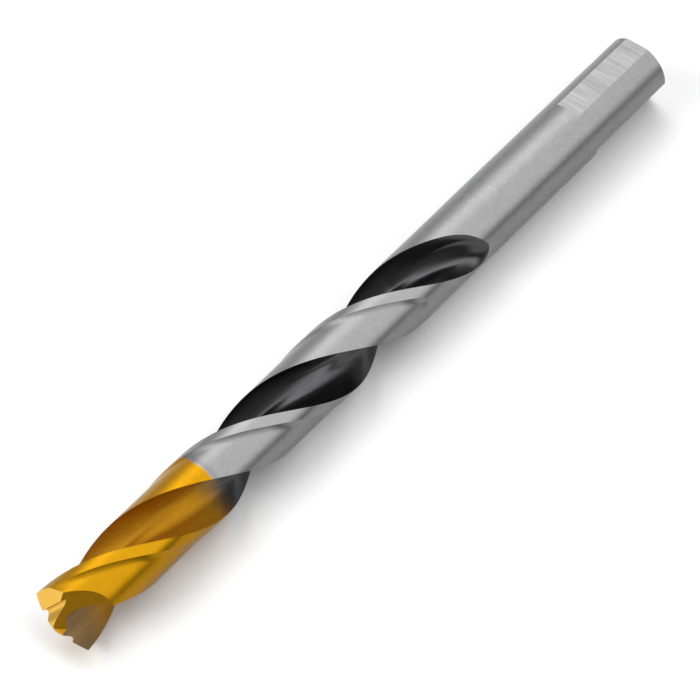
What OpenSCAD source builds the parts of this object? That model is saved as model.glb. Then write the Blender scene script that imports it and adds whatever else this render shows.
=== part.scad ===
// Twist drill bit with a pilot point and three flats on its shank.
// Modelled standing on its pilot point along +Z, then laid on its side: pilot point at -X, shank at +X.

/* [Overall] */
// Cutting diameter, which is also the shank's diameter
drill_d = 12.5; // [10:0.1:14]
// Length over all, from the pilot point to the shank's end
overall_l = 151.8; // [145:1:170]
// Length of the flutes, from the pilot point to the end of their run-out
flute_l = 102.2; // [90:0.2:110]
// Roll of the resting drill about its own axis, in degrees
roll_angle = 109; // [0:1:180]

/* [Flutes] */
// Helix angle at the cutting diameter, in degrees
helix_angle = 31; // [25:0.5:36]
// Share of a half turn that the land takes up, in degrees
land_angle = 93; // [85:1:98]
// Thickness of the web left between the two flutes
web_t = 2.4; // [2:0.1:3]
// Length over which a flute rises out to the surface
run_out_l = 17; // [12:0.5:22]

/* [Margins] */
// Angle that the margin takes up behind the cutting edge, in degrees
margin_angle = 20; // [12:1:26]
// Depth of the body clearance behind the margin
clearance_depth = 0.25; // [0.1:0.01:0.35]
// Length of the body clearance, from the pilot point
clearance_l = 85.5; // [70:0.2:88]
// Length of the slope that ends the body clearance beside the margin
shoulder_l = 0.5; // [0.3:0.1:1.5]
// Extra length of that slope at the heel
shoulder_spread = 8; // [0:0.5:14]
// How much the radius shrinks from the point to the neck
back_taper = 0.03; // [0.02:0.005:0.06]

/* [Point] */
// Included angle of the two outer lips, in degrees
lip_angle = 133; // [118:1:140]
// How steeply the flank falls away behind a lip, in degrees
relief_angle = 30; // [24:1:34]
// Diameter of the pilot at its root, where the outer lips end
pilot_d = 6.9; // [6:0.1:8]
// Height of the pilot's cutting edge above the groove round its root
pilot_h = 1.68; // [1.3:0.02:2]
// Depth of the groove between the pilot and the outer lips
pilot_groove = 0.46; // [0.2:0.02:0.7]
// Steepness of the gash that thins the web at the point, in degrees
gash_angle = 55.5; // [50:0.5:60]
// Heading of the gash from its own lip, in degrees
gash_heading = 116; // [110:1:122]
// Angle by which the thinned lip runs ahead of the outer lip, in degrees
gash_spread = 12.5; // [10:0.5:15]
// Thickness of the web left at the pilot's tip
tip_web = 0.4; // [0.3:0.05:0.8]

/* [Shank] */
// Length of the three flats, from the shank's end
flat_l = 20; // [15:0.5:26]
// Depth of each flat below the round of the shank
flat_depth = 0.5; // [0.3:0.05:0.8]
// Number of flats round the shank
flat_count = 3; // [1:1:4]
// Chamfer round the shank's end
end_chamfer = 0.3; // [0.1:0.05:0.6]

/* [Hidden] */

steel_colour = [0.62, 0.62, 0.63];
overrun = 1;
shank_faces = 96;

radius = drill_d / 2;
lead = PI * drill_d / tan(helix_angle);

// Lips: their roll from the outer corners, in degrees, and how far they run ahead of the drill's centre
lip_heading = 8;
lip_lead = radius * sin(lip_heading);
lip_drop = lip_lead * tan(relief_angle);

// Height of the pilot's tip above the outer corners of the lips
lip_rise = (radius - pilot_d / 2) / tan(lip_angle / 2);
point_h = pilot_h - pilot_groove + lip_rise - lip_drop;

// Rings of the fluted body, closer together at the end of the run-out
turn_per_ring = 7;
ring_step = lead * turn_per_ring / 360;
body_start = -overrun;
even_heights = [for (z = [body_start:ring_step:flute_l]) z];
end_spacing_shares = [0.85, 0.45, 0.2, 0];
ring_heights = concat(
    [for (z = even_heights) if (z < clearance_l - ring_step / 4) z],
    [clearance_l, clearance_l + shoulder_l],
    [for (z = even_heights) if (z > clearance_l + shoulder_l + ring_step / 4 && z < flute_l - ring_step) z],
    [for (share = end_spacing_shares) flute_l - share * ring_step],
    [flute_l + overrun]);

// Points of one half of a ring
margin_steps = 3;
clearance_steps = 9;
step_angle = 1;

// Section of a flute with its cutting edge along +X: bends and their pulls as shares of the radius
heel_pull_shares = [-0.12, 0.1];
bend_shares = [-0.096, -0.42];
bend_entry_shares = [-0.042, -0.2];
bend_exit_shares = [0.024, 0.16];
floor_heading = -52;
floor_pull_share = 0.11;
rake_shares = [0.46, 0.01];
rake_pull_shares = [0.18, 0.01];

heel_end = on_circle(radius - clearance_depth, land_angle - 180);
heel_bend = radius * bend_shares;
floor_point = on_circle(web_t / 2, floor_heading);
floor_pull = on_circle(radius * floor_pull_share, floor_heading + 90);
rake_bend = radius * rake_shares;
edge_end = [radius, 0];
flute_curves = [
    [heel_end, heel_end + radius * heel_pull_shares, heel_bend + radius * bend_entry_shares, heel_bend],
    [heel_bend, heel_bend + radius * bend_exit_shares, floor_point - floor_pull, floor_point],
    [floor_point, floor_point + floor_pull, rake_bend - radius * rake_pull_shares, rake_bend],
    [rake_bend, rake_bend + (edge_end - rake_bend) / 3, edge_end - (edge_end - rake_bend) / 3, edge_end]];
curve_steps = 4;
flute_steps = curve_steps * len(flute_curves);
flute_angle = 180 - land_angle;

// How the run-out lifts the flute and closes its two sides, in degrees and as powers of the way along it
lift_power = 2.2;
heel_close = 31;
heel_power = 9;
edge_close_early = 11;
edge_power_early = 2.2;
edge_close_late = 40;
edge_power_late = 12;

// Roll of the flats from the cutting edge's outer corner, in degrees
flat_heading = 62.4;

// Cutting edge's turn at a height above the pilot point
function edge_turn(z) = 360 * (z - point_h) / lead;

function clamped(share) = min(1, max(0, share));

// Radius of the margins at a height, with the back taper
function margin_r(z) = radius - back_taper * clamped(z / flute_l);

// Radius behind the margin: relieved along the body clearance, full beyond its shoulder
function relieved_r(z, across) =
    let (slope_l = shoulder_l + shoulder_spread * across)
    margin_r(z) - clearance_depth * clamped((clearance_l + shoulder_l - z) / slope_l);

// Progress along the run-out from 0 to 1, and how much of the flute's depth is left there
function run_out(z) = clamped((z - flute_l + run_out_l) / run_out_l);
function depth_left(z) = 1 - pow(run_out(z), lift_power);

// Angles by which the run-out narrows the flute on its heel side and on its cutting side
function heel_shift(z) = heel_close * pow(run_out(z), heel_power);
function edge_shift(z) =
    edge_close_early * pow(run_out(z), edge_power_early)
    + edge_close_late * pow(run_out(z), edge_power_late);

function on_circle(r, angle) = [r * cos(angle), r * sin(angle)];
function bezier(c, t) =
    c[0] * pow(1 - t, 3) + 3 * c[1] * t * pow(1 - t, 2) + 3 * c[2] * t * t * (1 - t) + c[3] * pow(t, 3);

// Step i of a flute's section at a height: risen towards the surface, spread evenly by the run-out
function flute_point(i, z) =
    let (p = bezier(flute_curves[floor(i / curve_steps)], i % curve_steps / curve_steps),
         bearing = atan2(p[1], p[0]),
         wall = bearing > 90 ? bearing - 360 : bearing,
         across = i / flute_steps,
         even = flute_angle * (across - 1),
         angle = wall + (even - wall) * run_out(z) + heel_shift(z) * (1 - across) - edge_shift(z) * across,
         depth = (radius - norm(p)) * depth_left(z),
         outer = margin_r(z) * across + relieved_r(z, 1) * (1 - across))
    on_circle(min(outer, radius - depth), 180 + angle);

// One half of a ring: margin, step, cleared land and flute
function half_ring(z) =
    let (edge_at = -edge_shift(z),
         clear_at = margin_angle + step_angle,
         heel_at = land_angle + heel_shift(z))
    concat(
        [for (i = [0:margin_steps])
            on_circle(margin_r(z), edge_at + (margin_angle - edge_at) * i / margin_steps)],
        [for (i = [0:clearance_steps])
            let (across = i / clearance_steps)
            on_circle(relieved_r(z, across), clear_at + (heel_at - clear_at) * across)],
        [for (i = [1:flute_steps - 1]) flute_point(i, z)]);

function turned(p, angle) =
    [p[0] * cos(angle) - p[1] * sin(angle), p[0] * sin(angle) + p[1] * cos(angle)];

function ring(z) =
    let (half = half_ring(z), turn = edge_turn(z))
    [for (side = [0, 180], p = half) let (q = turned(p, turn + side)) [q[0], q[1], z]];

// The fluted body, lofted through its rings
module fluted_body() {
    rings = [for (z = ring_heights) ring(z)];
    n = len(rings[0]);
    last = len(rings) - 1;
    points = [for (r = rings, p = r) p];
    sides = [for (i = [0:last - 1], j = [0:n - 1])
        let (a = i * n + j, b = i * n + (j + 1) % n, c = a + n, d = b + n)
        each [[a, c, b], [b, c, d]]];
    bottom = [[for (j = [0:n - 1]) j]];
    top = [[for (j = [n - 1:-1:0]) last * n + j]];
    polyhedron(points, concat(bottom, sides, top), convexity = 10);
}

// Cutting edge of the pilot: a bell that is flattened at its top and ends in the groove
pilot_steps = 8;
bell_share = 0.91;
bell_power = 1.2;
function bell(share) = (1 + cos(180 * pow(share, bell_power))) / 2;

// Everything ahead of one lip and of the flank that falls away behind it
module flank_cutter() {
    reach = drill_d;
    root_r = pilot_d / 2;
    lip_at = pilot_h - pilot_groove;
    pilot = [for (i = [0:pilot_steps])
        let (share = i / pilot_steps)
        [share * bell_share * root_r, pilot_h * (1 - bell(share))]];
    lip = [[root_r, lip_at], [reach, lip_at + (reach - root_r) / tan(lip_angle / 2)]];
    edge = [for (p = concat([[-reach, 0]], pilot, lip)) [p[0], p[1] * cos(relief_angle)]];
    rotate([0, 0, lip_heading])
        translate([0, -lip_lead, -lip_drop])
            rotate([relief_angle - 90, 0, 0])
                mirror([0, 1, 0])
                    translate([0, 0, -reach])
                        linear_extrude(2 * reach)
                            polygon(concat(edge, [[reach, -reach], [-reach, -reach]]));
}

// The gash that thins the web: a slanted face from the pilot's tip, stopped at the next lip
module gash_cutter() {
    reach = drill_d;
    rotate([0, 0, lip_heading])
        intersection() {
            rotate([0, 0, gash_heading])
                rotate([0, -gash_angle, 0])
                    translate([-reach, -reach, -reach])
                        cube([2 * reach, 2 * reach, reach]);
            rotate([0, 0, -gash_spread])
                translate([-reach, tip_web / 2, -reach])
                    cube([2 * reach, reach, 2 * reach]);
        }
}

module shank() {
    difference() {
        union() {
            translate([0, 0, flute_l])
                cylinder(r = radius, h = overall_l - flute_l - end_chamfer, $fn = shank_faces);
            translate([0, 0, overall_l - end_chamfer])
                cylinder(r1 = radius, r2 = radius - end_chamfer, h = end_chamfer, $fn = shank_faces);
        }
        for (i = [0:flat_count - 1])
            rotate([0, 0, flat_heading + i * 360 / flat_count])
                translate([radius - flat_depth, -radius, overall_l - flat_l])
                    cube([drill_d, drill_d, flat_l + overrun]);
    }
}

module drill_bit() {
    color(steel_colour)
        translate([-overall_l / 2, 0, radius])
            rotate([0, 90, 0])
                rotate([0, 0, roll_angle])
                    union() {
                        difference() {
                            fluted_body();
                            for (side = [0, 180])
                                rotate([0, 0, side])
                                    flank_cutter();
                            for (side = [0, 180])
                                rotate([0, 0, side])
                                    gash_cutter();
                        }
                        shank();
                    }
}

drill_bit();
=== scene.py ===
"""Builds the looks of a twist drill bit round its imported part, and a studio to show it in."""

from math import cos, pi, radians, sin, tan
from typing import NamedTuple

import bmesh
import bpy
import numpy as np
from bpy.props import FloatProperty, FloatVectorProperty, IntProperty, PointerProperty
from mathutils import Matrix, Vector


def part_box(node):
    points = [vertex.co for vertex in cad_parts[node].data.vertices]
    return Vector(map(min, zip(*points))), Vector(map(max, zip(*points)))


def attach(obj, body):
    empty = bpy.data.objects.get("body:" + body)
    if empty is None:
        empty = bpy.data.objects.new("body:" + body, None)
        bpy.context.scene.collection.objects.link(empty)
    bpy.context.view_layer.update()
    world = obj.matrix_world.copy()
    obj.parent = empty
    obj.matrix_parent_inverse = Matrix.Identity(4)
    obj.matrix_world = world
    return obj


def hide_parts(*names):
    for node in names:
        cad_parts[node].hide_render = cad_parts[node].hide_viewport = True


bl_info = {
    "name": "Twist Drill Bit",
    "version": (1, 0, 0),
    "blender": (4, 5, 0),
    "location": "3D View > Sidebar > Drill",
    "description": "Builds a ground twist drill bit with a gold coated point, and its studio",
    "category": "Add Mesh",
}

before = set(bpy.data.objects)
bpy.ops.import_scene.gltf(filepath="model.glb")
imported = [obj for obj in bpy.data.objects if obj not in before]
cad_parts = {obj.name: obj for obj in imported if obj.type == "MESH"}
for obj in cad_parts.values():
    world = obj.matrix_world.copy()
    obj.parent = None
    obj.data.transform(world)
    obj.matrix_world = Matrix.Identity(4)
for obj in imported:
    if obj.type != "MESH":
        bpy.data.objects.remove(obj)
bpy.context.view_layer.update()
CAD_LOW, CAD_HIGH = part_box("drill_bit")

MM = 0.001

# Finishes, in the order of the drill's material slots
FINISHES = ["margin", "land", "flute", "flank", "gash", "shank", "flat", "shank_end"]
SLOT = {name: i for i, name in enumerate(FINISHES)}


def length(name, default, description):
    """A property for a length in metres."""
    return FloatProperty(
        name=name, description=description, default=default, min=0, unit="LENGTH", precision=5
    )


def angle(name, default_degrees, description):
    """A property for an angle, kept in radians."""
    return FloatProperty(
        name=name, description=description, default=radians(default_degrees), subtype="ANGLE"
    )


def colour(name, default, description):
    """A property for a linear colour."""
    return FloatVectorProperty(
        name=name, description=description, default=default, size=3, min=0, max=1, subtype="COLOR"
    )


def amount(name, default, description):
    """A property for a plain number."""
    return FloatProperty(name=name, description=description, default=default, min=0)


class DrillSizes(bpy.types.PropertyGroup):
    """Sizes of the drill."""

    diameter: length("Diameter", CAD_HIGH.z - CAD_LOW.z, "Cutting diameter, and the shank's")
    overall: length("Overall length", CAD_HIGH.x - CAD_LOW.x, "Length from point to shank's end")
    flute_length: length("Flute length", 102.2 * MM, "Length from the point to the run-out's end")
    roll: angle("Roll", 109, "Turn of the resting drill about its own axis")
    helix: angle("Helix angle", 31, "Angle of the flutes to the axis, at the cutting diameter")
    land: angle("Land", 93, "Angle that the land takes up, with its margin")
    web: length("Web", 2.4 * MM, "Thickness left between the two flutes")
    run_out: length("Run-out", 17 * MM, "Length over which a flute rises out to the surface")
    margin: angle("Margin", 20, "Angle that the margin takes up behind the cutting edge")
    clearance: length("Clearance depth", 0.25 * MM, "Depth of the cleared land behind the margin")
    clearance_length: length("Clearance length", 85.5 * MM, "Where the cleared land ends")
    shoulder: length("Shoulder", 0.5 * MM, "Length of the slope that ends the cleared land")
    shoulder_spread: length("Shoulder spread", 8 * MM, "Extra length of that slope at the heel")
    taper: length("Back taper", 0.03 * MM, "How much the radius shrinks from point to neck")
    lip: angle("Lip angle", 133, "Included angle of the two outer lips")
    relief: angle("Relief", 30, "How steeply the flank falls away")
    pilot: length("Pilot diameter", 6.9 * MM, "Diameter of the pilot at its root")
    pilot_height: length("Pilot height", 1.68 * MM, "Height of the pilot above its root's groove")
    pilot_groove: length("Pilot groove", 0.46 * MM, "Depth of the groove round the pilot's root")
    gash: angle("Gash", 54.8, "Steepness of the gash that thins the web")
    gash_heading: angle("Gash heading", 105, "Heading of the gash from its own lip")
    gash_spread: angle("Gash spread", 21.5, "Angle of the thinned lip ahead of the outer lip")
    tip_web: length("Tip web", 0.4 * MM, "Thickness of the web left at the pilot's tip")
    flat_length: length("Flat length", 20 * MM, "Length of the flats, from the shank's end")
    flat_depth: length("Flat depth", 0.5 * MM, "Depth of each flat below the round of the shank")
    flat_count: IntProperty(
        name="Flats", description="Flats round the shank", default=3, min=1, max=4
    )
    end_chamfer: length("End chamfer", 0.1 * MM, "Chamfer round the shank's end")


class DrillFinish(bpy.types.PropertyGroup):
    """Colours and finishes of the drill."""

    steel: colour("Steel", (0.197, 0.197, 0.199), "Colour of the ground steel")
    flute: colour("Flute", (0.066, 0.066, 0.068), "Colour of the polished steel in the flutes")
    gold: colour("Gold", (0.345, 0.168, 0.004), "Colour of the coating on the lands")
    flute_gold: colour("Flute gold", (0.43, 0.205, 0.012), "Colour of the coating in the flutes")
    # Painted highlight: the point's coating is made far lighter than the gold of the lands,
    # standing in for the bright light its flanks catch
    point_gold_with_painted_highlight: colour("Point gold and painted highlight", (0.60, 0.345, 0.06), "Colour of the coating on the point")
    # Painted shade: the coating in the gashes is darker than the gold in the flutes, standing in
    # for the dim light the gash faces catch
    gash_gold_with_painted_shade: colour("Gash gold and painted shade", (0.33, 0.155, 0.006), "Colour of the coating in the gashes")
    # Painted shade: a brown-grey that darkens the coating in the flutes near the point, standing in
    # for the dim light there
    painted_lip_shade: colour("Painted lip shade", (0.21, 0.138, 0.066), "Colour of the painted shade at the lips")
    painted_lip_shade_length: length("Painted lip shade length", 12 * MM, "Length of that tint, from the point")
    flat: colour("Flats", (0.235, 0.235, 0.237), "Colour of the freshly ground flats")
    halo: colour("Halo", (0.165, 0.166, 0.176), "Colour of the thin fringe where the coating ends")
    coating_length: length("Coating length", 35.3 * MM, "Length of the coating, from the point")
    coating_fade: length("Coating fade", 0.7 * MM, "Length over which it fades out on the lands")
    flute_fade: length("Flute fade", 6.5 * MM, "Length over which it fades out in the flutes")


class StudioSettings(bpy.types.PropertyGroup):
    """Floor and light of the studio."""

    floor: colour("Floor", (0.95, 0.95, 0.95), "Colour of the floor")
    sky: amount("Sky", 0.17, "Strength of the plain light from above")
    overhead: amount("Overhead", 2.27, "Strength of the broad soft light overhead")
    sky_low: amount("Low sky", 0.07, "Strength of the light from low down at -Y")
    key: amount("Key", 1.5, "Power of the soft box, in watts")
    side: amount("Side lamp", 4.0, "Power of the lamp beside the point, in watts")
    low: amount("Low lamp", 0.9, "Power of the low lamp that the point's flanks mirror, in watts")


# --- Shape of the drill, standing on its pilot point along +Z ---

# Section of a flute with its cutting edge along +X: bends and their pulls as shares of the radius
HEEL_PULL = np.array([-0.12, 0.1])
BEND = np.array([-0.096, -0.42])
BEND_ENTRY = np.array([-0.042, -0.2])
BEND_EXIT = np.array([0.024, 0.16])
FLOOR_HEADING = radians(-52)
FLOOR_PULL = 0.11
RAKE = np.array([0.46, 0.01])
RAKE_PULL = np.array([0.18, 0.01])

# How the run-out lifts the flute and closes its two sides
LIFT_POWER = 2.2
HEEL_CLOSE = radians(31)
HEEL_POWER = 9
EDGE_CLOSE_EARLY = radians(11)
EDGE_POWER_EARLY = 2.2
EDGE_CLOSE_LATE = radians(40)
EDGE_POWER_LATE = 12

# The hollow step down behind the margin: how wide it is, and how steeply it starts
STEP_ANGLE = radians(12)
STEP_POWER = 1.7

# Fineness of the mesh
MARGIN_STEPS = 10
STEP_STEPS = 8
LAND_STEPS = 20
CURVE_STEPS = 12
PILOT_STEPS = 28
SHANK_RINGS = 16
RING_STEP = 0.32 * MM
CLOSING_RINGS = np.array([0.75, 0.5, 0.3, 0.15, 0])
OVERRUN = 1 * MM
SHARP_ANGLE = radians(34)
WELD = 0.02 * MM
FEWEST_FACES = 1000

# Bearing of the lips behind the cutting edges
LIP_HEADING = radians(8)

# How far the point is turned ahead of the helix, and over what length this fades out
POINT_TWIST = radians(9)
TWIST_REACH = 14 * MM

# Bearing of the first flat from a cutting edge
FLAT_HEADING = radians(62.4)

# The pilot's bell: how wide it is for its root, and how far its fall is held back
BELL_SHARE = 0.91
BELL_POWER = 1.2


def on_circle(r, a):
    """Points at a radius and an angle."""
    return np.stack([r * np.cos(a), r * np.sin(a)], -1)


def bezier(points, t):
    """Points at the shares t along a cubic curve."""
    a, b, c, d = points
    t = t[:, None]
    return a * (1 - t) ** 3 + 3 * b * t * (1 - t) ** 2 + 3 * c * t * t * (1 - t) + d * t**3


class DrillShape:
    """The drill's form as functions of the height above the pilot point."""

    def __init__(self, sizes):
        self.s = sizes
        self.radius = sizes.diameter / 2
        self.lead = pi * sizes.diameter / tan(sizes.helix)
        self.lip_lead = self.radius * sin(LIP_HEADING)
        self.lip_drop = self.lip_lead * tan(sizes.relief)
        lip_rise = (self.radius - sizes.pilot / 2) / tan(sizes.lip / 2)
        self.point_height = sizes.pilot_height - sizes.pilot_groove + lip_rise - self.lip_drop
        self.flute_angle = pi - sizes.land

    def edge_turn(self, z):
        """How far round the cutting edge is at a height."""
        above = z - self.point_height
        turn = 2 * pi * above / self.lead
        return turn + POINT_TWIST * np.clip(1 - above / TWIST_REACH, 0, 2) ** 2

    def margin_radius(self, z):
        """Radius of the margin at a height."""
        return self.radius - self.s.taper * np.clip(z / self.s.flute_length, 0, 1)

    def relieved_radius(self, z, across):
        """Radius of the cleared land at a height, and at a share of the way across it."""
        s = self.s
        slope = s.shoulder + s.shoulder_spread * across
        left = np.clip((s.clearance_length + s.shoulder - z) / slope, 0, 1)
        return self.margin_radius(z) - s.clearance * left

    def run_out(self, z):
        """How much of the run-out lies below a height, from 0 to 1."""
        return np.clip((z - self.s.flute_length + self.s.run_out) / self.s.run_out, 0, 1)

    def section(self):
        """Bearing and depth of the points of a flute's section."""
        r, s = self.radius, self.s
        heel = on_circle(r - s.clearance, s.land - pi)
        bend = r * BEND
        floor = on_circle(s.web / 2, FLOOR_HEADING)
        pull = on_circle(r * FLOOR_PULL, FLOOR_HEADING + pi / 2)
        rake = r * RAKE
        edge = np.array([r, 0.0])
        curves = [
            (heel, heel + r * HEEL_PULL, bend + r * BEND_ENTRY, bend),
            (bend, bend + r * BEND_EXIT, floor - pull, floor),
            (floor, floor + pull, rake - r * RAKE_PULL, rake),
            (rake, rake + (edge - rake) / 3, edge - (edge - rake) / 3, edge),
        ]
        t = np.arange(CURVE_STEPS) / CURVE_STEPS
        p = np.concatenate([bezier(c, t) for c in curves])[1:]
        bearing = np.arctan2(p[:, 1], p[:, 0])
        bearing[bearing > pi / 2] -= 2 * pi
        return bearing, r - np.hypot(p[:, 0], p[:, 1])

    def half_rings(self, z):
        """Angles and radii of half a ring at each height, and the finish of each of its strips."""
        s = self.s
        z = z[:, None]
        out = self.run_out(z)
        heel_shift = HEEL_CLOSE * out**HEEL_POWER
        early = EDGE_CLOSE_EARLY * out**EDGE_POWER_EARLY
        edge_shift = early + EDGE_CLOSE_LATE * out**EDGE_POWER_LATE

        steps = np.arange(MARGIN_STEPS + 1) / MARGIN_STEPS
        margin_a = -edge_shift + (s.margin + edge_shift) * steps
        margin_r = self.margin_radius(z) + 0 * margin_a

        # The step down behind the margin is hollow, and runs smoothly into the land
        down = np.arange(1, STEP_STEPS + 1)[None, :] / STEP_STEPS
        clear_at = s.margin + STEP_ANGLE
        step_a = s.margin + STEP_ANGLE * down + 0 * z
        drop = self.relieved_radius(z, 0) - margin_r[:, -1:]
        step_r = margin_r[:, -1:] + drop * (1 - (1 - down) ** STEP_POWER)

        across = np.arange(1, LAND_STEPS + 1)[None, :] / LAND_STEPS
        land_a = clear_at + (s.land + heel_shift - clear_at) * across
        land_r = self.relieved_radius(z, across) + 0 * land_a

        bearing, depth = self.section()
        across = (np.arange(len(bearing)) + 1)[None, :] / (len(bearing) + 1)
        even = self.flute_angle * (across - 1)
        risen = bearing + (even - bearing) * out
        flute_a = risen + heel_shift * (1 - across) - edge_shift * across
        outer = self.margin_radius(z) * across + self.relieved_radius(z, 1) * (1 - across)
        flute_r = np.minimum(outer, self.radius - depth * (1 - out**LIFT_POWER))

        finish = (
            [SLOT["margin"]] * MARGIN_STEPS
            + [SLOT["land"]] * (STEP_STEPS + LAND_STEPS)
            + [SLOT["flute"]] * (len(bearing) + 1)
        )
        angles = np.concatenate([margin_a, step_a, land_a, pi + flute_a], 1)
        radii = np.concatenate([margin_r, step_r, land_r, flute_r], 1)
        return angles, radii, finish

    def rings(self):
        """Points of all rings, from below the point to the shank's end, and each face's finish."""
        s = self.s
        fluted = np.arange(-OVERRUN, s.flute_length, RING_STEP)
        close = s.flute_length - RING_STEP * CLOSING_RINGS
        fluted = np.concatenate([fluted[fluted < close[0] - RING_STEP / 4], close])
        plain = np.linspace(s.flute_length, s.overall - s.end_chamfer, SHANK_RINGS + 1)[1:]
        z = np.concatenate([fluted, plain, [s.overall]])
        angles, radii, finish = self.half_rings(np.minimum(z, s.flute_length))
        radii[len(fluted):] = self.radius
        radii[-1] = self.radius - s.end_chamfer
        turn = self.edge_turn(np.minimum(z, s.flute_length))[:, None]
        a = np.concatenate([angles + turn, angles + turn + pi], 1)
        r = np.concatenate([radii, radii], 1)
        height = z[:, None] + 0 * a
        points = np.stack([r * np.cos(a), r * np.sin(a), height], -1)
        slots = np.tile(np.array(finish * 2), (len(z) - 1, 1))
        slots[len(fluted) - 1:] = SLOT["shank"]
        slots[-1] = SLOT["shank_end"]
        return points, slots

    def laid_down(self):
        """Takes the standing drill to where it lies, with its pilot point at -X."""
        s = self.s
        return (
            Matrix.Translation((-s.overall / 2, 0, self.radius))
            @ Matrix.Rotation(pi / 2, 4, "Y")
            @ Matrix.Rotation(s.roll, 4, "Z")
        )


def lofted(points, slots):
    """A closed mesh through rings of points, each face with its finish."""
    rings, count = points.shape[:2]
    i, j = np.meshgrid(np.arange(rings - 1), np.arange(count), indexing="ij")
    k = (j + 1) % count
    quads = np.stack([i * count + j, i * count + k, (i + 1) * count + k, (i + 1) * count + j], -1)
    last = (rings - 1) * count
    faces = [list(map(int, q)) for q in quads.reshape(-1, 4)]
    faces += [list(range(count - 1, -1, -1)), list(range(last, last + count))]
    mesh = bpy.data.meshes.new("drill_bit_finished")
    mesh.from_pydata([tuple(p) for p in points.reshape(-1, 3)], [], faces)
    index = list(map(int, slots.reshape(-1))) + [SLOT["flank"], SLOT["shank_end"]]
    mesh.polygons.foreach_set("material_index", index)
    return mesh


def prism(outline, depth, placed, slot):
    """A closed cutter: an outline in XY, drawn out by depth along Z and placed by a matrix."""
    n = len(outline)
    bm = bmesh.new()
    low = [bm.verts.new(placed @ Vector((x, y, 0))) for x, y in outline]
    high = [bm.verts.new(placed @ Vector((x, y, depth))) for x, y in outline]
    bm.faces.new(low)
    bm.faces.new(high)
    for i in range(n):
        bm.faces.new([low[i], low[(i + 1) % n], high[(i + 1) % n], high[i]])
    bmesh.ops.recalc_face_normals(bm, faces=bm.faces)
    for f in bm.faces:
        f.material_index = slot
    mesh = bpy.data.meshes.new("cutter")
    bm.to_mesh(mesh)
    bm.free()
    return mesh


def flank_cutter(shape):
    """Everything ahead of one lip and of the flank that falls away behind it."""
    s = shape.s
    reach = s.diameter
    root = s.pilot / 2
    lip_at = s.pilot_height - s.pilot_groove
    along = np.arange(PILOT_STEPS + 1) / PILOT_STEPS
    bell = (1 + np.cos(pi * along**BELL_POWER)) / 2
    edge = [(-reach, 0.0)]
    edge += [(a * BELL_SHARE * root, s.pilot_height * (1 - b)) for a, b in zip(along, bell)]
    edge += [(root, lip_at), (reach, lip_at + (reach - root) / tan(s.lip / 2))]
    outline = [(x, -y * cos(s.relief)) for x, y in edge] + [(reach, reach), (-reach, reach)]
    placed = (
        Matrix.Rotation(LIP_HEADING, 4, "Z")
        @ Matrix.Translation((0, -shape.lip_lead, -shape.lip_drop))
        @ Matrix.Rotation(s.relief - pi / 2, 4, "X")
        @ Matrix.Translation((0, 0, -reach))
    )
    return prism(outline, 2 * reach, placed, SLOT["flank"])


def gash_cutter(shape):
    """The gash that thins the web: all under its slanted face and past its stop at the next lip."""
    s = shape.s
    reach = s.diameter
    turn = Matrix.Rotation(LIP_HEADING, 3, "Z")
    tilt = Matrix.Rotation(s.gash_heading, 3, "Z") @ Matrix.Rotation(-s.gash, 3, "Y")
    face = turn @ tilt @ Vector((0, 0, -1))
    stop = turn @ Matrix.Rotation(-s.gash_spread, 3, "Z") @ Vector((0, 1, 0))
    along = face.cross(stop).normalized()
    in_face = along.cross(face).normalized()
    in_face *= 1 if in_face.dot(stop) > 0 else -1
    in_stop = along.cross(stop).normalized()
    in_stop *= 1 if in_stop.dot(face) > 0 else -1
    corner = in_face * (s.tip_web / 2 / in_face.dot(stop))
    axes = Matrix((in_face, in_stop, along)).transposed().to_4x4()
    placed = Matrix.Translation(corner - along * reach) @ axes
    return prism([(0, 0), (reach, 0), (reach, reach), (0, reach)], 2 * reach, placed, SLOT["gash"])


def flat_cutter(shape, heading):
    """What a ground flat takes off the shank."""
    s = shape.s
    r = shape.radius
    start = Matrix.Translation((0, 0, s.overall - s.flat_length))
    placed = Matrix.Rotation(heading, 4, "Z") @ start
    outline = [(r - s.flat_depth, -r), (2 * r, -r), (2 * r, r), (r - s.flat_depth, r)]
    return prism(outline, s.flat_length + OVERRUN, placed, SLOT["flat"])


def cut_away(piece, cutter_mesh):
    """Takes a cutter off a piece for good."""
    cutter = bpy.data.objects.new("cutter", cutter_mesh)
    for slot in piece.material_slots:
        cutter_mesh.materials.append(slot.material)
    bpy.context.scene.collection.objects.link(cutter)
    cut = piece.modifiers.new("cut", "BOOLEAN")
    cut.operation = "DIFFERENCE"
    cut.solver = "EXACT"
    cut.material_mode = "INDEX"
    cut.object = cutter
    bpy.context.view_layer.update()
    evaluated = piece.evaluated_get(bpy.context.evaluated_depsgraph_get())
    mesh = bpy.data.meshes.new_from_object(evaluated)
    piece.modifiers.clear()
    old, piece.data = piece.data, mesh
    bpy.data.meshes.remove(old)
    bpy.data.objects.remove(cutter)
    bpy.data.meshes.remove(cutter_mesh)


def crisp(mesh):
    """Smooth faces, with an edge wherever two finishes meet or the surface turns sharply."""
    bm = bmesh.new()
    bm.from_mesh(mesh)
    bmesh.ops.remove_doubles(bm, verts=bm.verts, dist=WELD)
    bmesh.ops.dissolve_degenerate(bm, edges=bm.edges, dist=WELD)
    for f in bm.faces:
        f.smooth = True
    for e in bm.edges:
        if len(e.link_faces) == 2:
            a, b = e.link_faces
            same = a.material_index == b.material_index
            e.smooth = same and e.calc_face_angle(0) < SHARP_ANGLE
    bm.to_mesh(mesh)
    bm.free()


# --- Finishes ---


def new_group(name, inputs, outputs):
    """An empty node group with named sockets: (name, kind, default)."""
    group = bpy.data.node_groups.new(name, "ShaderNodeTree")
    for label, kind, default in inputs:
        socket = group.interface.new_socket(label, in_out="INPUT", socket_type=kind)
        if default is not None:
            socket.default_value = default
    for label, kind in outputs:
        group.interface.new_socket(label, in_out="OUTPUT", socket_type=kind)
    return group, group.nodes.new("NodeGroupInput"), group.nodes.new("NodeGroupOutput")


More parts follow.
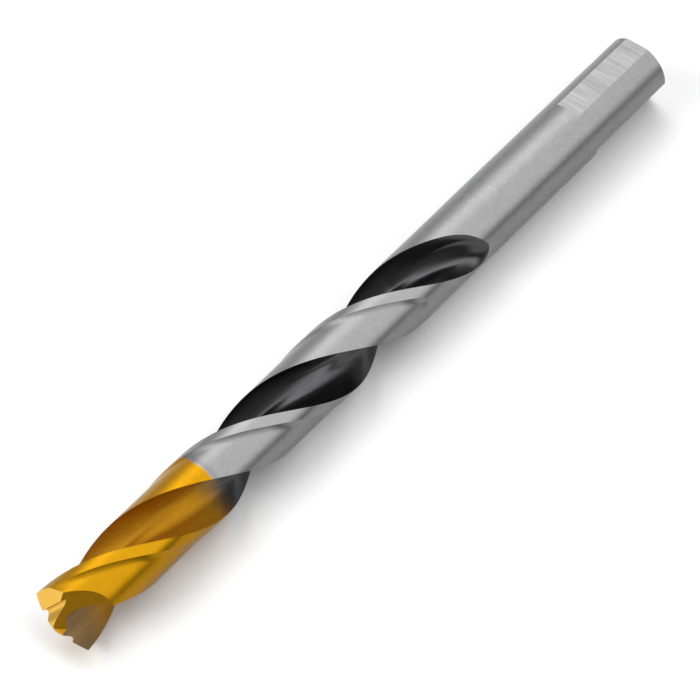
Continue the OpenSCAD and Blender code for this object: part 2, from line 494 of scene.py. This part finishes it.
class Wires:
    """Short words for placing and joining the nodes of one tree."""

    def __init__(self, tree):
        self.tree = tree

    def node(self, kind, **settings):
        """A new node with its settings."""
        made = self.tree.nodes.new(kind)
        for key, value in settings.items():
            setattr(made, key, value)
        return made

    def put(self, socket, value):
        """Joins a socket to another, or sets its value."""
        if isinstance(value, bpy.types.NodeSocket):
            self.tree.links.new(value, socket)
        else:
            socket.default_value = value

    def math(self, operation, *values):
        """The result of a sum."""
        made = self.node("ShaderNodeMath", operation=operation)
        for socket, value in zip(made.inputs, values):
            self.put(socket, value)
        return made.outputs[0]

    def smooth(self, value, low, high, to_low=0.0, to_high=1.0):
        """A soft step of a value between two levels."""
        made = self.node("ShaderNodeMapRange", interpolation_type="SMOOTHSTEP")
        for socket, v in zip(made.inputs, (value, low, high, to_low, to_high)):
            self.put(socket, v)
        return made.outputs[0]

    def combine(self, x, y, z):
        """A vector of three values."""
        made = self.node("ShaderNodeCombineXYZ")
        for socket, value in zip(made.inputs, (x, y, z)):
            self.put(socket, value)
        return made.outputs[0]

    def noise(self, vector, scale=1.0, detail=2.0, roughness=0.5):
        """Soft noise from 0 to 1, with a middle of 0.5."""
        made = self.node("ShaderNodeTexNoise")
        self.put(made.inputs["Vector"], vector)
        self.put(made.inputs["Scale"], scale)
        self.put(made.inputs["Detail"], detail)
        self.put(made.inputs["Roughness"], roughness)
        return made.outputs["Fac"]

    def mix(self, factor, a, b, blend="MIX"):
        """A mix of two colours."""
        made = self.node("ShaderNodeMix", data_type="RGBA", blend_type=blend)
        self.put(made.inputs[0], factor)
        self.put(made.inputs[6], a)
        self.put(made.inputs[7], b)
        return made.outputs[2]

    def group(self, tree, **values):
        """The outputs of a node group; an underscore in a value's name stands for a space."""
        made = self.node("ShaderNodeGroup", node_tree=tree)
        for key, value in values.items():
            self.put(made.inputs[key.replace("_", " ")], value)
        return made.outputs


def opaque(rgb):
    """A colour with an alpha of 1."""
    return (*rgb, 1.0)


# The coating's edge: how far it wanders in mm, over what size, and where its fringe comes and
# goes, in shares of the fade
WANDER = 1.2
WANDER_SIZE = 4 * MM
FRINGE_COMES = (0.0, 0.6)
FRINGE_GOES = (0.6, 2.2)

# Grinding marks: how much of them is fine and how much broad, and how broad those are
FINE_MARKS = 0.65
BROAD_MARKS = 0.35
BROADENING = 0.17
BROAD_PLACE = 7.0

# Grain: how much of it is fine and how much cloudy, and how large the clouds are
FINE_GRAIN = 0.7
CLOUDY_GRAIN = 0.3
CLOUDINESS = 0.2

# Specks: cells in a metre, the share of the cells without one, and a speck's edge and darkness
SPECK_CELLS = 0.35 / MM
SPECKLESS = 0.82
SPECK_EDGE = (0.03, 0.09)
SPECK_DARKNESS = 0.35

# How much of the roughness follows the grinding marks
MARKED_ROUGHNESS = 0.4

# Painted shade on the coating at the lips: its strength, and the share of its length before it
# fades
LIP_SHADE_STRENGTH = 0.95
LIP_SHADE_FULL = 0.25


def drill_places(shape):
    """Node group: where a point of the drill is.

    It gives the length along the axis in mm, the angle round it in radians, the degrees behind the
    cutting edge and the radius in mm."""
    s = shape.s
    tree, _, out = new_group(
        "Drill places",
        [],
        [
            ("Along", "NodeSocketFloat"),
            ("Around", "NodeSocketFloat"),
            ("Behind edge", "NodeSocketFloat"),
            ("Radius", "NodeSocketFloat"),
        ],
    )
    w = Wires(tree)
    place = w.node("ShaderNodeSeparateXYZ")
    w.put(place.inputs[0], w.node("ShaderNodeTexCoord").outputs["Object"])
    x, y, z = place.outputs
    along = w.math("DIVIDE", w.math("ADD", x, s.overall / 2), MM)
    up = w.math("SUBTRACT", z, shape.radius)
    around = w.math("ADD", w.math("ARCTAN2", w.math("MULTIPLY", y, -1.0), up), pi - s.roll)
    above = w.math("SUBTRACT", along, shape.point_height / MM)
    turned = w.math("MULTIPLY", above, 2 * pi / (shape.lead / MM))
    past_edge = w.math("FLOORED_MODULO", w.math("SUBTRACT", around, turned), pi)
    behind = w.math("DIVIDE", past_edge, radians(1))
    squares = w.math("ADD", w.math("MULTIPLY", y, y), w.math("MULTIPLY", up, up))
    radius = w.math("DIVIDE", w.math("SQRT", squares), MM)
    for socket, value in zip(out.inputs, (along, around, behind, radius)):
        w.put(socket, value)
    return tree


def coating_edge():
    """Node group: where the coating is, and the fringe at its end."""
    tree, come, out = new_group(
        "Coating edge",
        [
            ("Along", "NodeSocketFloat", 0.0),
            ("Reach", "NodeSocketFloat", 0.0),
            ("Fade", "NodeSocketFloat", 1.0),
        ],
        [("Coated", "NodeSocketFloat"), ("Fringe", "NodeSocketFloat")],
    )
    w = Wires(tree)
    along, reach, fade = come.outputs[:3]
    wander = w.noise(w.node("ShaderNodeTexCoord").outputs["Object"], 1 / WANDER_SIZE)
    wave = w.math("MULTIPLY", w.math("SUBTRACT", wander, 0.5), WANDER)
    past = w.math("DIVIDE", w.math("SUBTRACT", w.math("ADD", along, wave), reach), fade)
    w.put(out.inputs["Coated"], w.smooth(past, -0.5, 0.5, 1.0, 0.0))
    rise = w.smooth(past, *FRINGE_COMES)
    fall = w.smooth(past, *FRINGE_GOES, 1.0, 0.0)
    w.put(out.inputs["Fringe"], w.math("MULTIPLY", rise, fall))
    return tree


def grinding_marks():
    """Node group: fine parallel marks of a grinding wheel, as a tone round 1."""
    tree, come, out = new_group(
        "Grinding marks",
        [
            ("Across", "NodeSocketFloat", 0.0),
            ("Along marks", "NodeSocketFloat", 0.0),
            ("Fineness", "NodeSocketFloat", 8.0),
            ("Length", "NodeSocketFloat", 4.0),
            ("Strength", "NodeSocketFloat", 0.1),
        ],
        [("Tone", "NodeSocketFloat")],
    )
    w = Wires(tree)
    across, marks, fineness, reach, strength = come.outputs[:5]
    drawn_out = w.math("DIVIDE", marks, reach)
    broadness = w.math("MULTIPLY", fineness, BROADENING)
    fine = w.noise(
        w.combine(w.math("MULTIPLY", across, fineness), drawn_out, 0.0), detail=3.0, roughness=0.65
    )
    broad = w.noise(w.combine(w.math("MULTIPLY", across, broadness), drawn_out, BROAD_PLACE))
    fine, broad = w.math("MULTIPLY", fine, FINE_MARKS), w.math("MULTIPLY", broad, BROAD_MARKS)
    both = w.math("ADD", fine, broad)
    swing = w.math("MULTIPLY", w.math("SUBTRACT", both, 0.5), w.math("MULTIPLY", strength, 2.0))
    w.put(out.inputs["Tone"], w.math("ADD", 1.0, swing))
    return tree


def fine_grain():
    """Node group: the mottled grain and the few dark specks of ground steel, as a tone round 1."""
    tree, come, out = new_group(
        "Fine grain",
        [("Fineness", "NodeSocketFloat", 3.0), ("Strength", "NodeSocketFloat", 0.05)],
        [("Tone", "NodeSocketFloat")],
    )
    w = Wires(tree)
    fineness, strength = come.outputs[:2]
    place = w.node("ShaderNodeTexCoord").outputs["Object"]
    grain = w.noise(place, w.math("DIVIDE", fineness, MM), detail=3.0, roughness=0.6)
    cloud = w.noise(place, w.math("DIVIDE", w.math("MULTIPLY", fineness, CLOUDINESS), MM))
    grain, cloud = w.math("MULTIPLY", grain, FINE_GRAIN), w.math("MULTIPLY", cloud, CLOUDY_GRAIN)
    both = w.math("ADD", grain, cloud)
    swing = w.math("MULTIPLY", w.math("SUBTRACT", both, 0.5), w.math("MULTIPLY", strength, 2.0))
    cells = w.node("ShaderNodeTexVoronoi")
    w.put(cells.inputs["Vector"], place)
    w.put(cells.inputs["Scale"], SPECK_CELLS)
    chosen = w.node("ShaderNodeSeparateColor")
    w.put(chosen.inputs[0], cells.outputs["Color"])
    dot = w.smooth(cells.outputs["Distance"], *SPECK_EDGE, SPECK_DARKNESS, 0.0)
    speck = w.math("MULTIPLY", dot, w.math("GREATER_THAN", chosen.outputs[0], SPECKLESS))
    w.put(out.inputs["Tone"], w.math("SUBTRACT", w.math("ADD", 1.0, swing), speck))
    return tree


class Look(NamedTuple):
    """One finish of the drill: bare and coated, with the marks of its grinding.

    marks gives their direction ("around", "along" or "behind"), fineness, length and strength."""

    bare: tuple
    coated: tuple
    roughness: float
    marks: tuple
    grain: float
    coated_roughness: float = 0.0
    in_flute: bool = False


def metal(name, groups, finish, look):
    """A metal finish, bare beyond the coating and coated within it."""
    places, edge, grinding, mottle = groups
    material = bpy.data.materials.new(name)
    material.use_nodes = True
    tree = material.node_tree
    shader = tree.nodes["Principled BSDF"]
    w = Wires(tree)
    at = w.group(places)
    fade = finish.flute_fade if look.in_flute else finish.coating_fade
    at_edge = w.group(edge, Along=at["Along"], Reach=finish.coating_length / MM, Fade=fade / MM)

    arc = w.math("MULTIPLY", at["Around"], at["Radius"])
    heading, fineness, reach, strength = look.marks
    across, along_marks = {
        "around": (at["Along"], arc),
        "along": (arc, at["Along"]),
        "behind": (at["Behind edge"], at["Along"]),
    }[heading]
    marked = w.group(
        grinding,
        Across=across,
        Along_marks=along_marks,
        Fineness=fineness,
        Length=reach,
        Strength=strength,
    )

    bare, coated = opaque(look.bare), opaque(look.coated)
    # Painted shade: near the point the coating in the flutes is darkened to the lip shade colour,
    # fading out along its length
    if look.in_flute:
        shade_reach = finish.painted_lip_shade_length / MM
        full = LIP_SHADE_FULL * shade_reach
        shade = w.smooth(at["Along"], full, shade_reach, LIP_SHADE_STRENGTH, 0.0)
        coated = w.mix(shade, coated, opaque(finish.painted_lip_shade))
    else:
        bare = w.mix(at_edge["Fringe"], bare, opaque(finish.halo))
    base = w.mix(at_edge["Coated"], bare, coated)
    level = w.math("MULTIPLY", marked["Tone"], w.group(mottle, Strength=look.grain)["Tone"])
    toned = w.mix(1.0, base, w.combine(level, level, level), "MULTIPLY")
    w.put(shader.inputs["Base Color"], toned)

    coated_roughness = look.coated_roughness or look.roughness
    polish = w.smooth(at_edge["Coated"], 0.0, 1.0, look.roughness, coated_roughness)
    rough_marks = w.math("MULTIPLY_ADD", marked["Tone"], MARKED_ROUGHNESS, 1 - MARKED_ROUGHNESS)
    w.put(shader.inputs["Roughness"], w.math("MULTIPLY", rough_marks, polish))
    shader.inputs["Metallic"].default_value = 1.0
    return material


def drill_finishes(shape, finish):
    """The materials of the drill, in the order of FINISHES."""
    groups = (drill_places(shape), coating_edge(), grinding_marks(), fine_grain())
    steel, gold = finish.steel, finish.gold
    looks = {
        "margin": Look(steel, gold, 0.26, ("around", 3.0, 6.0, 0.12), 0.14),
        "land": Look(steel, gold, 0.30, ("around", 5.0, 5.0, 0.14), 0.22),
        "flute": Look(
            finish.flute,
            finish.flute_gold,
            0.28,
            ("behind", 0.25, 9.0, 0.30),
            0.30,
            coated_roughness=0.56,
            in_flute=True,
        ),
        # Painted highlight: the flanks take the lighter point gold
        "flank": Look(steel, finish.point_gold_with_painted_highlight, 0.32, ("along", 4.0, 3.0, 0.10), 0.05),
        # Painted shade: the gashes take the darker gash gold
        "gash": Look(steel, finish.gash_gold_with_painted_shade, 0.36, ("along", 4.0, 3.0, 0.10), 0.05),
        "shank": Look(steel, gold, 0.30, ("around", 2.2, 9.0, 0.08), 0.34),
        "flat": Look(finish.flat, gold, 0.34, ("around", 4.6, 11.0, 1.0), 0.10),
        "shank_end": Look(steel, gold, 0.32, ("around", 4.0, 4.0, 0.10), 0.05),
    }
    return [metal(f"{name} finish", groups, finish, looks[name]) for name in FINISHES]


# --- Operators ---


class DRILL_OT_make_bit(bpy.types.Operator):
    """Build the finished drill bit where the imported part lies"""

    bl_idname = "drill.make_bit"
    bl_label = "Drill Bit"
    bl_options = {"REGISTER", "UNDO"}

    def execute(self, context):
        shape = DrillShape(context.scene.drill_sizes)
        mesh = lofted(*shape.rings())
        for material in drill_finishes(shape, context.scene.drill_finish):
            mesh.materials.append(material)
        piece = bpy.data.objects.new("drill_bit_finished", mesh)
        context.scene.collection.objects.link(piece)
        for side in (0, pi):
            for cutter in (flank_cutter(shape), gash_cutter(shape)):
                cutter.transform(Matrix.Rotation(side + POINT_TWIST, 4, "Z"))
                cut_away(piece, cutter)
        for i in range(shape.s.flat_count):
            cut_away(piece, flat_cutter(shape, FLAT_HEADING + i * 2 * pi / shape.s.flat_count))
        piece.data.transform(shape.laid_down())
        crisp(piece.data)
        if len(piece.data.polygons) < FEWEST_FACES:
            raise RuntimeError("the drill's cutters took the whole drill away")
        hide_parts("drill_bit")
        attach(piece, "root")
        return {"FINISHED"}


# The photograph's viewpoint
CAMERA_PLACE = (-0.18577, -0.16056, 0.40206)
CAMERA_AIM = (0.39045, 0.34457, -0.85371)
CAMERA_LENS = 139.2
CAMERA_CLIP = (0.01, 20)

# The floor, with faint darker clouds
FLOOR_SIZE = 6.0
FLOOR_ROUGHNESS = 0.9
CLOUD_COLOUR = (0.8, 0.8, 0.8)
CLOUD_STRENGTH = 0.02
CLOUDS_PER_METRE = 40.0

# How the sky brightens upwards from the floor at -Y, and from the floor at +Y
SKY_LEAN = 0.45
SKY_RISE = (-0.42, 0.12)
FAR_LEAN = 0.6
FAR_RISE = (-0.4, 0.45)
FAR_DIM = 0.4

# Where along the drill the overhead light stands, and between which distances from there it fades
OVERHEAD_AT = 0.38
OVERHEAD_SIDES = (0.12, 0.42)

# The soft box, seen from the drill: how far, how high above +Y, and how wide and deep
BOX_DISTANCE = 1.0
BOX_RISE = radians(59)
BOX_SIZE = (1.2, 0.46)

# The lamp beside the point, and the low one that the point's flanks mirror
SIDE_LAMP_PLACE = (-0.6, 0.45, 0.62)
SIDE_LAMP_SIZE = (0.5, 0.5)
LOW_LAMP_PLACE = (-0.93, 0.36, 0.13)
LOW_LAMP_SIZE = (0.5, 0.22)


def soft_box(name, place, size, watts):
    """A soft box lamp, turned to the middle of the drill."""
    lamp = bpy.data.lights.new(name, "AREA")
    lamp.shape = "RECTANGLE"
    lamp.size, lamp.size_y = size
    lamp.energy = watts
    box = bpy.data.objects.new(name, lamp)
    box.location = place
    box.rotation_mode = "QUATERNION"
    box.rotation_quaternion = (-Vector(place)).to_track_quat("-Z", "Y")
    bpy.context.scene.collection.objects.link(box)


def studio_world(studio):
    """A plain sky with a broad soft light overhead, dim where it meets the floor at -Y."""
    world = bpy.data.worlds.new("Studio sky")
    bpy.context.scene.world = world
    world.use_nodes = True
    tree = world.node_tree
    w = Wires(tree)
    way = w.node("ShaderNodeSeparateXYZ")
    w.put(way.inputs[0], w.node("ShaderNodeTexCoord").outputs["Generated"])
    x, y, up = way.outputs
    rise = w.smooth(w.math("ADD", up, w.math("MULTIPLY", y, SKY_LEAN)), *SKY_RISE)
    far = w.math("SUBTRACT", up, w.math("MULTIPLY", y, FAR_LEAN))
    rise = w.math("MULTIPLY", rise, w.smooth(far, *FAR_RISE, FAR_DIM, 1.0))
    off = w.math("ABSOLUTE", w.math("SUBTRACT", x, OVERHEAD_AT))
    overhead = w.math("MULTIPLY", rise, w.smooth(off, *OVERHEAD_SIDES, studio.overhead, 0.0))
    plain = w.math("ADD", studio.sky_low, w.math("MULTIPLY", rise, studio.sky))
    background = tree.nodes["Background"]
    w.put(background.inputs["Strength"], w.math("ADD", plain, overhead))
    background.inputs["Color"].default_value = (1, 1, 1, 1)


def studio_floor(studio):
    """A pale floor with faint clouds."""
    mesh = bpy.data.meshes.new("floor")
    half = FLOOR_SIZE / 2
    corners = [(-half, -half, 0), (half, -half, 0), (half, half, 0), (-half, half, 0)]
    mesh.from_pydata(corners, [], [(0, 1, 2, 3)])
    floor = bpy.data.objects.new("floor", mesh)
    bpy.context.scene.collection.objects.link(floor)
    material = bpy.data.materials.new("Floor")
    material.use_nodes = True
    shader = material.node_tree.nodes["Principled BSDF"]
    w = Wires(material.node_tree)
    clouds = w.noise(w.node("ShaderNodeTexCoord").outputs["Object"], CLOUDS_PER_METRE)
    clouded = w.math("MULTIPLY", clouds, CLOUD_STRENGTH)
    w.put(shader.inputs["Base Color"], w.mix(clouded, opaque(studio.floor), opaque(CLOUD_COLOUR)))
    shader.inputs["Roughness"].default_value = FLOOR_ROUGHNESS
    shader.inputs["Specular IOR Level"].default_value = 0.0
    mesh.materials.append(material)


class DRILL_OT_make_studio(bpy.types.Operator):
    """Build the camera, the floor and the soft light"""

    bl_idname = "drill.make_studio"
    bl_label = "Studio"
    bl_options = {"REGISTER", "UNDO"}

    def execute(self, context):
        scene, studio = context.scene, context.scene.drill_studio
        camera = bpy.data.objects.new("camera", bpy.data.cameras.new("camera"))
        camera.location = CAMERA_PLACE
        camera.rotation_mode = "QUATERNION"
        camera.rotation_quaternion = Vector(CAMERA_AIM).to_track_quat("-Z", "Y")
        camera.data.lens = CAMERA_LENS
        camera.data.clip_start, camera.data.clip_end = CAMERA_CLIP
        scene.collection.objects.link(camera)
        scene.camera = camera
        studio_floor(studio)
        studio_world(studio)
        side = (1 - OVERHEAD_AT**2) ** 0.5
        place = Vector((OVERHEAD_AT, side * cos(BOX_RISE), side * sin(BOX_RISE))) * BOX_DISTANCE
        soft_box("soft box", place, BOX_SIZE, studio.key)
        soft_box("side lamp", SIDE_LAMP_PLACE, SIDE_LAMP_SIZE, studio.side)
        soft_box("low lamp", LOW_LAMP_PLACE, LOW_LAMP_SIZE, studio.low)
        scene.view_settings.view_transform = "Standard"
        return {"FINISHED"}


class DRILL_PT_panel(bpy.types.Panel):
    """Shows the drill's operators and settings"""

    bl_idname = "DRILL_PT_panel"
    bl_label = "Twist Drill Bit"
    bl_space_type = "VIEW_3D"
    bl_region_type = "UI"
    bl_category = "Drill"

    def draw(self, context):
        for made in (DRILL_OT_make_bit, DRILL_OT_make_studio):
            self.layout.operator(made.bl_idname)
        scene = context.scene
        for group in (scene.drill_sizes, scene.drill_finish, scene.drill_studio):
            for key in group.__annotations__:
                self.layout.prop(group, key)


SETTINGS = {"drill_sizes": DrillSizes, "drill_finish": DrillFinish, "drill_studio": StudioSettings}
CLASSES = (*SETTINGS.values(), DRILL_OT_make_bit, DRILL_OT_make_studio, DRILL_PT_panel)


def register():
    """Adds the drill's operators, settings and panel."""
    for made in CLASSES:
        bpy.utils.register_class(made)
    for key, kind in SETTINGS.items():
        setattr(bpy.types.Scene, key, PointerProperty(type=kind))


def unregister():
    """Takes them away again."""
    for key in SETTINGS:
        delattr(bpy.types.Scene, key)
    for made in reversed(CLASSES):
        bpy.utils.unregister_class(made)


def main():
    """Builds everything."""
    register()
    bpy.ops.drill.make_bit()
    bpy.ops.drill.make_studio()


if __name__ == "__main__":
    main()
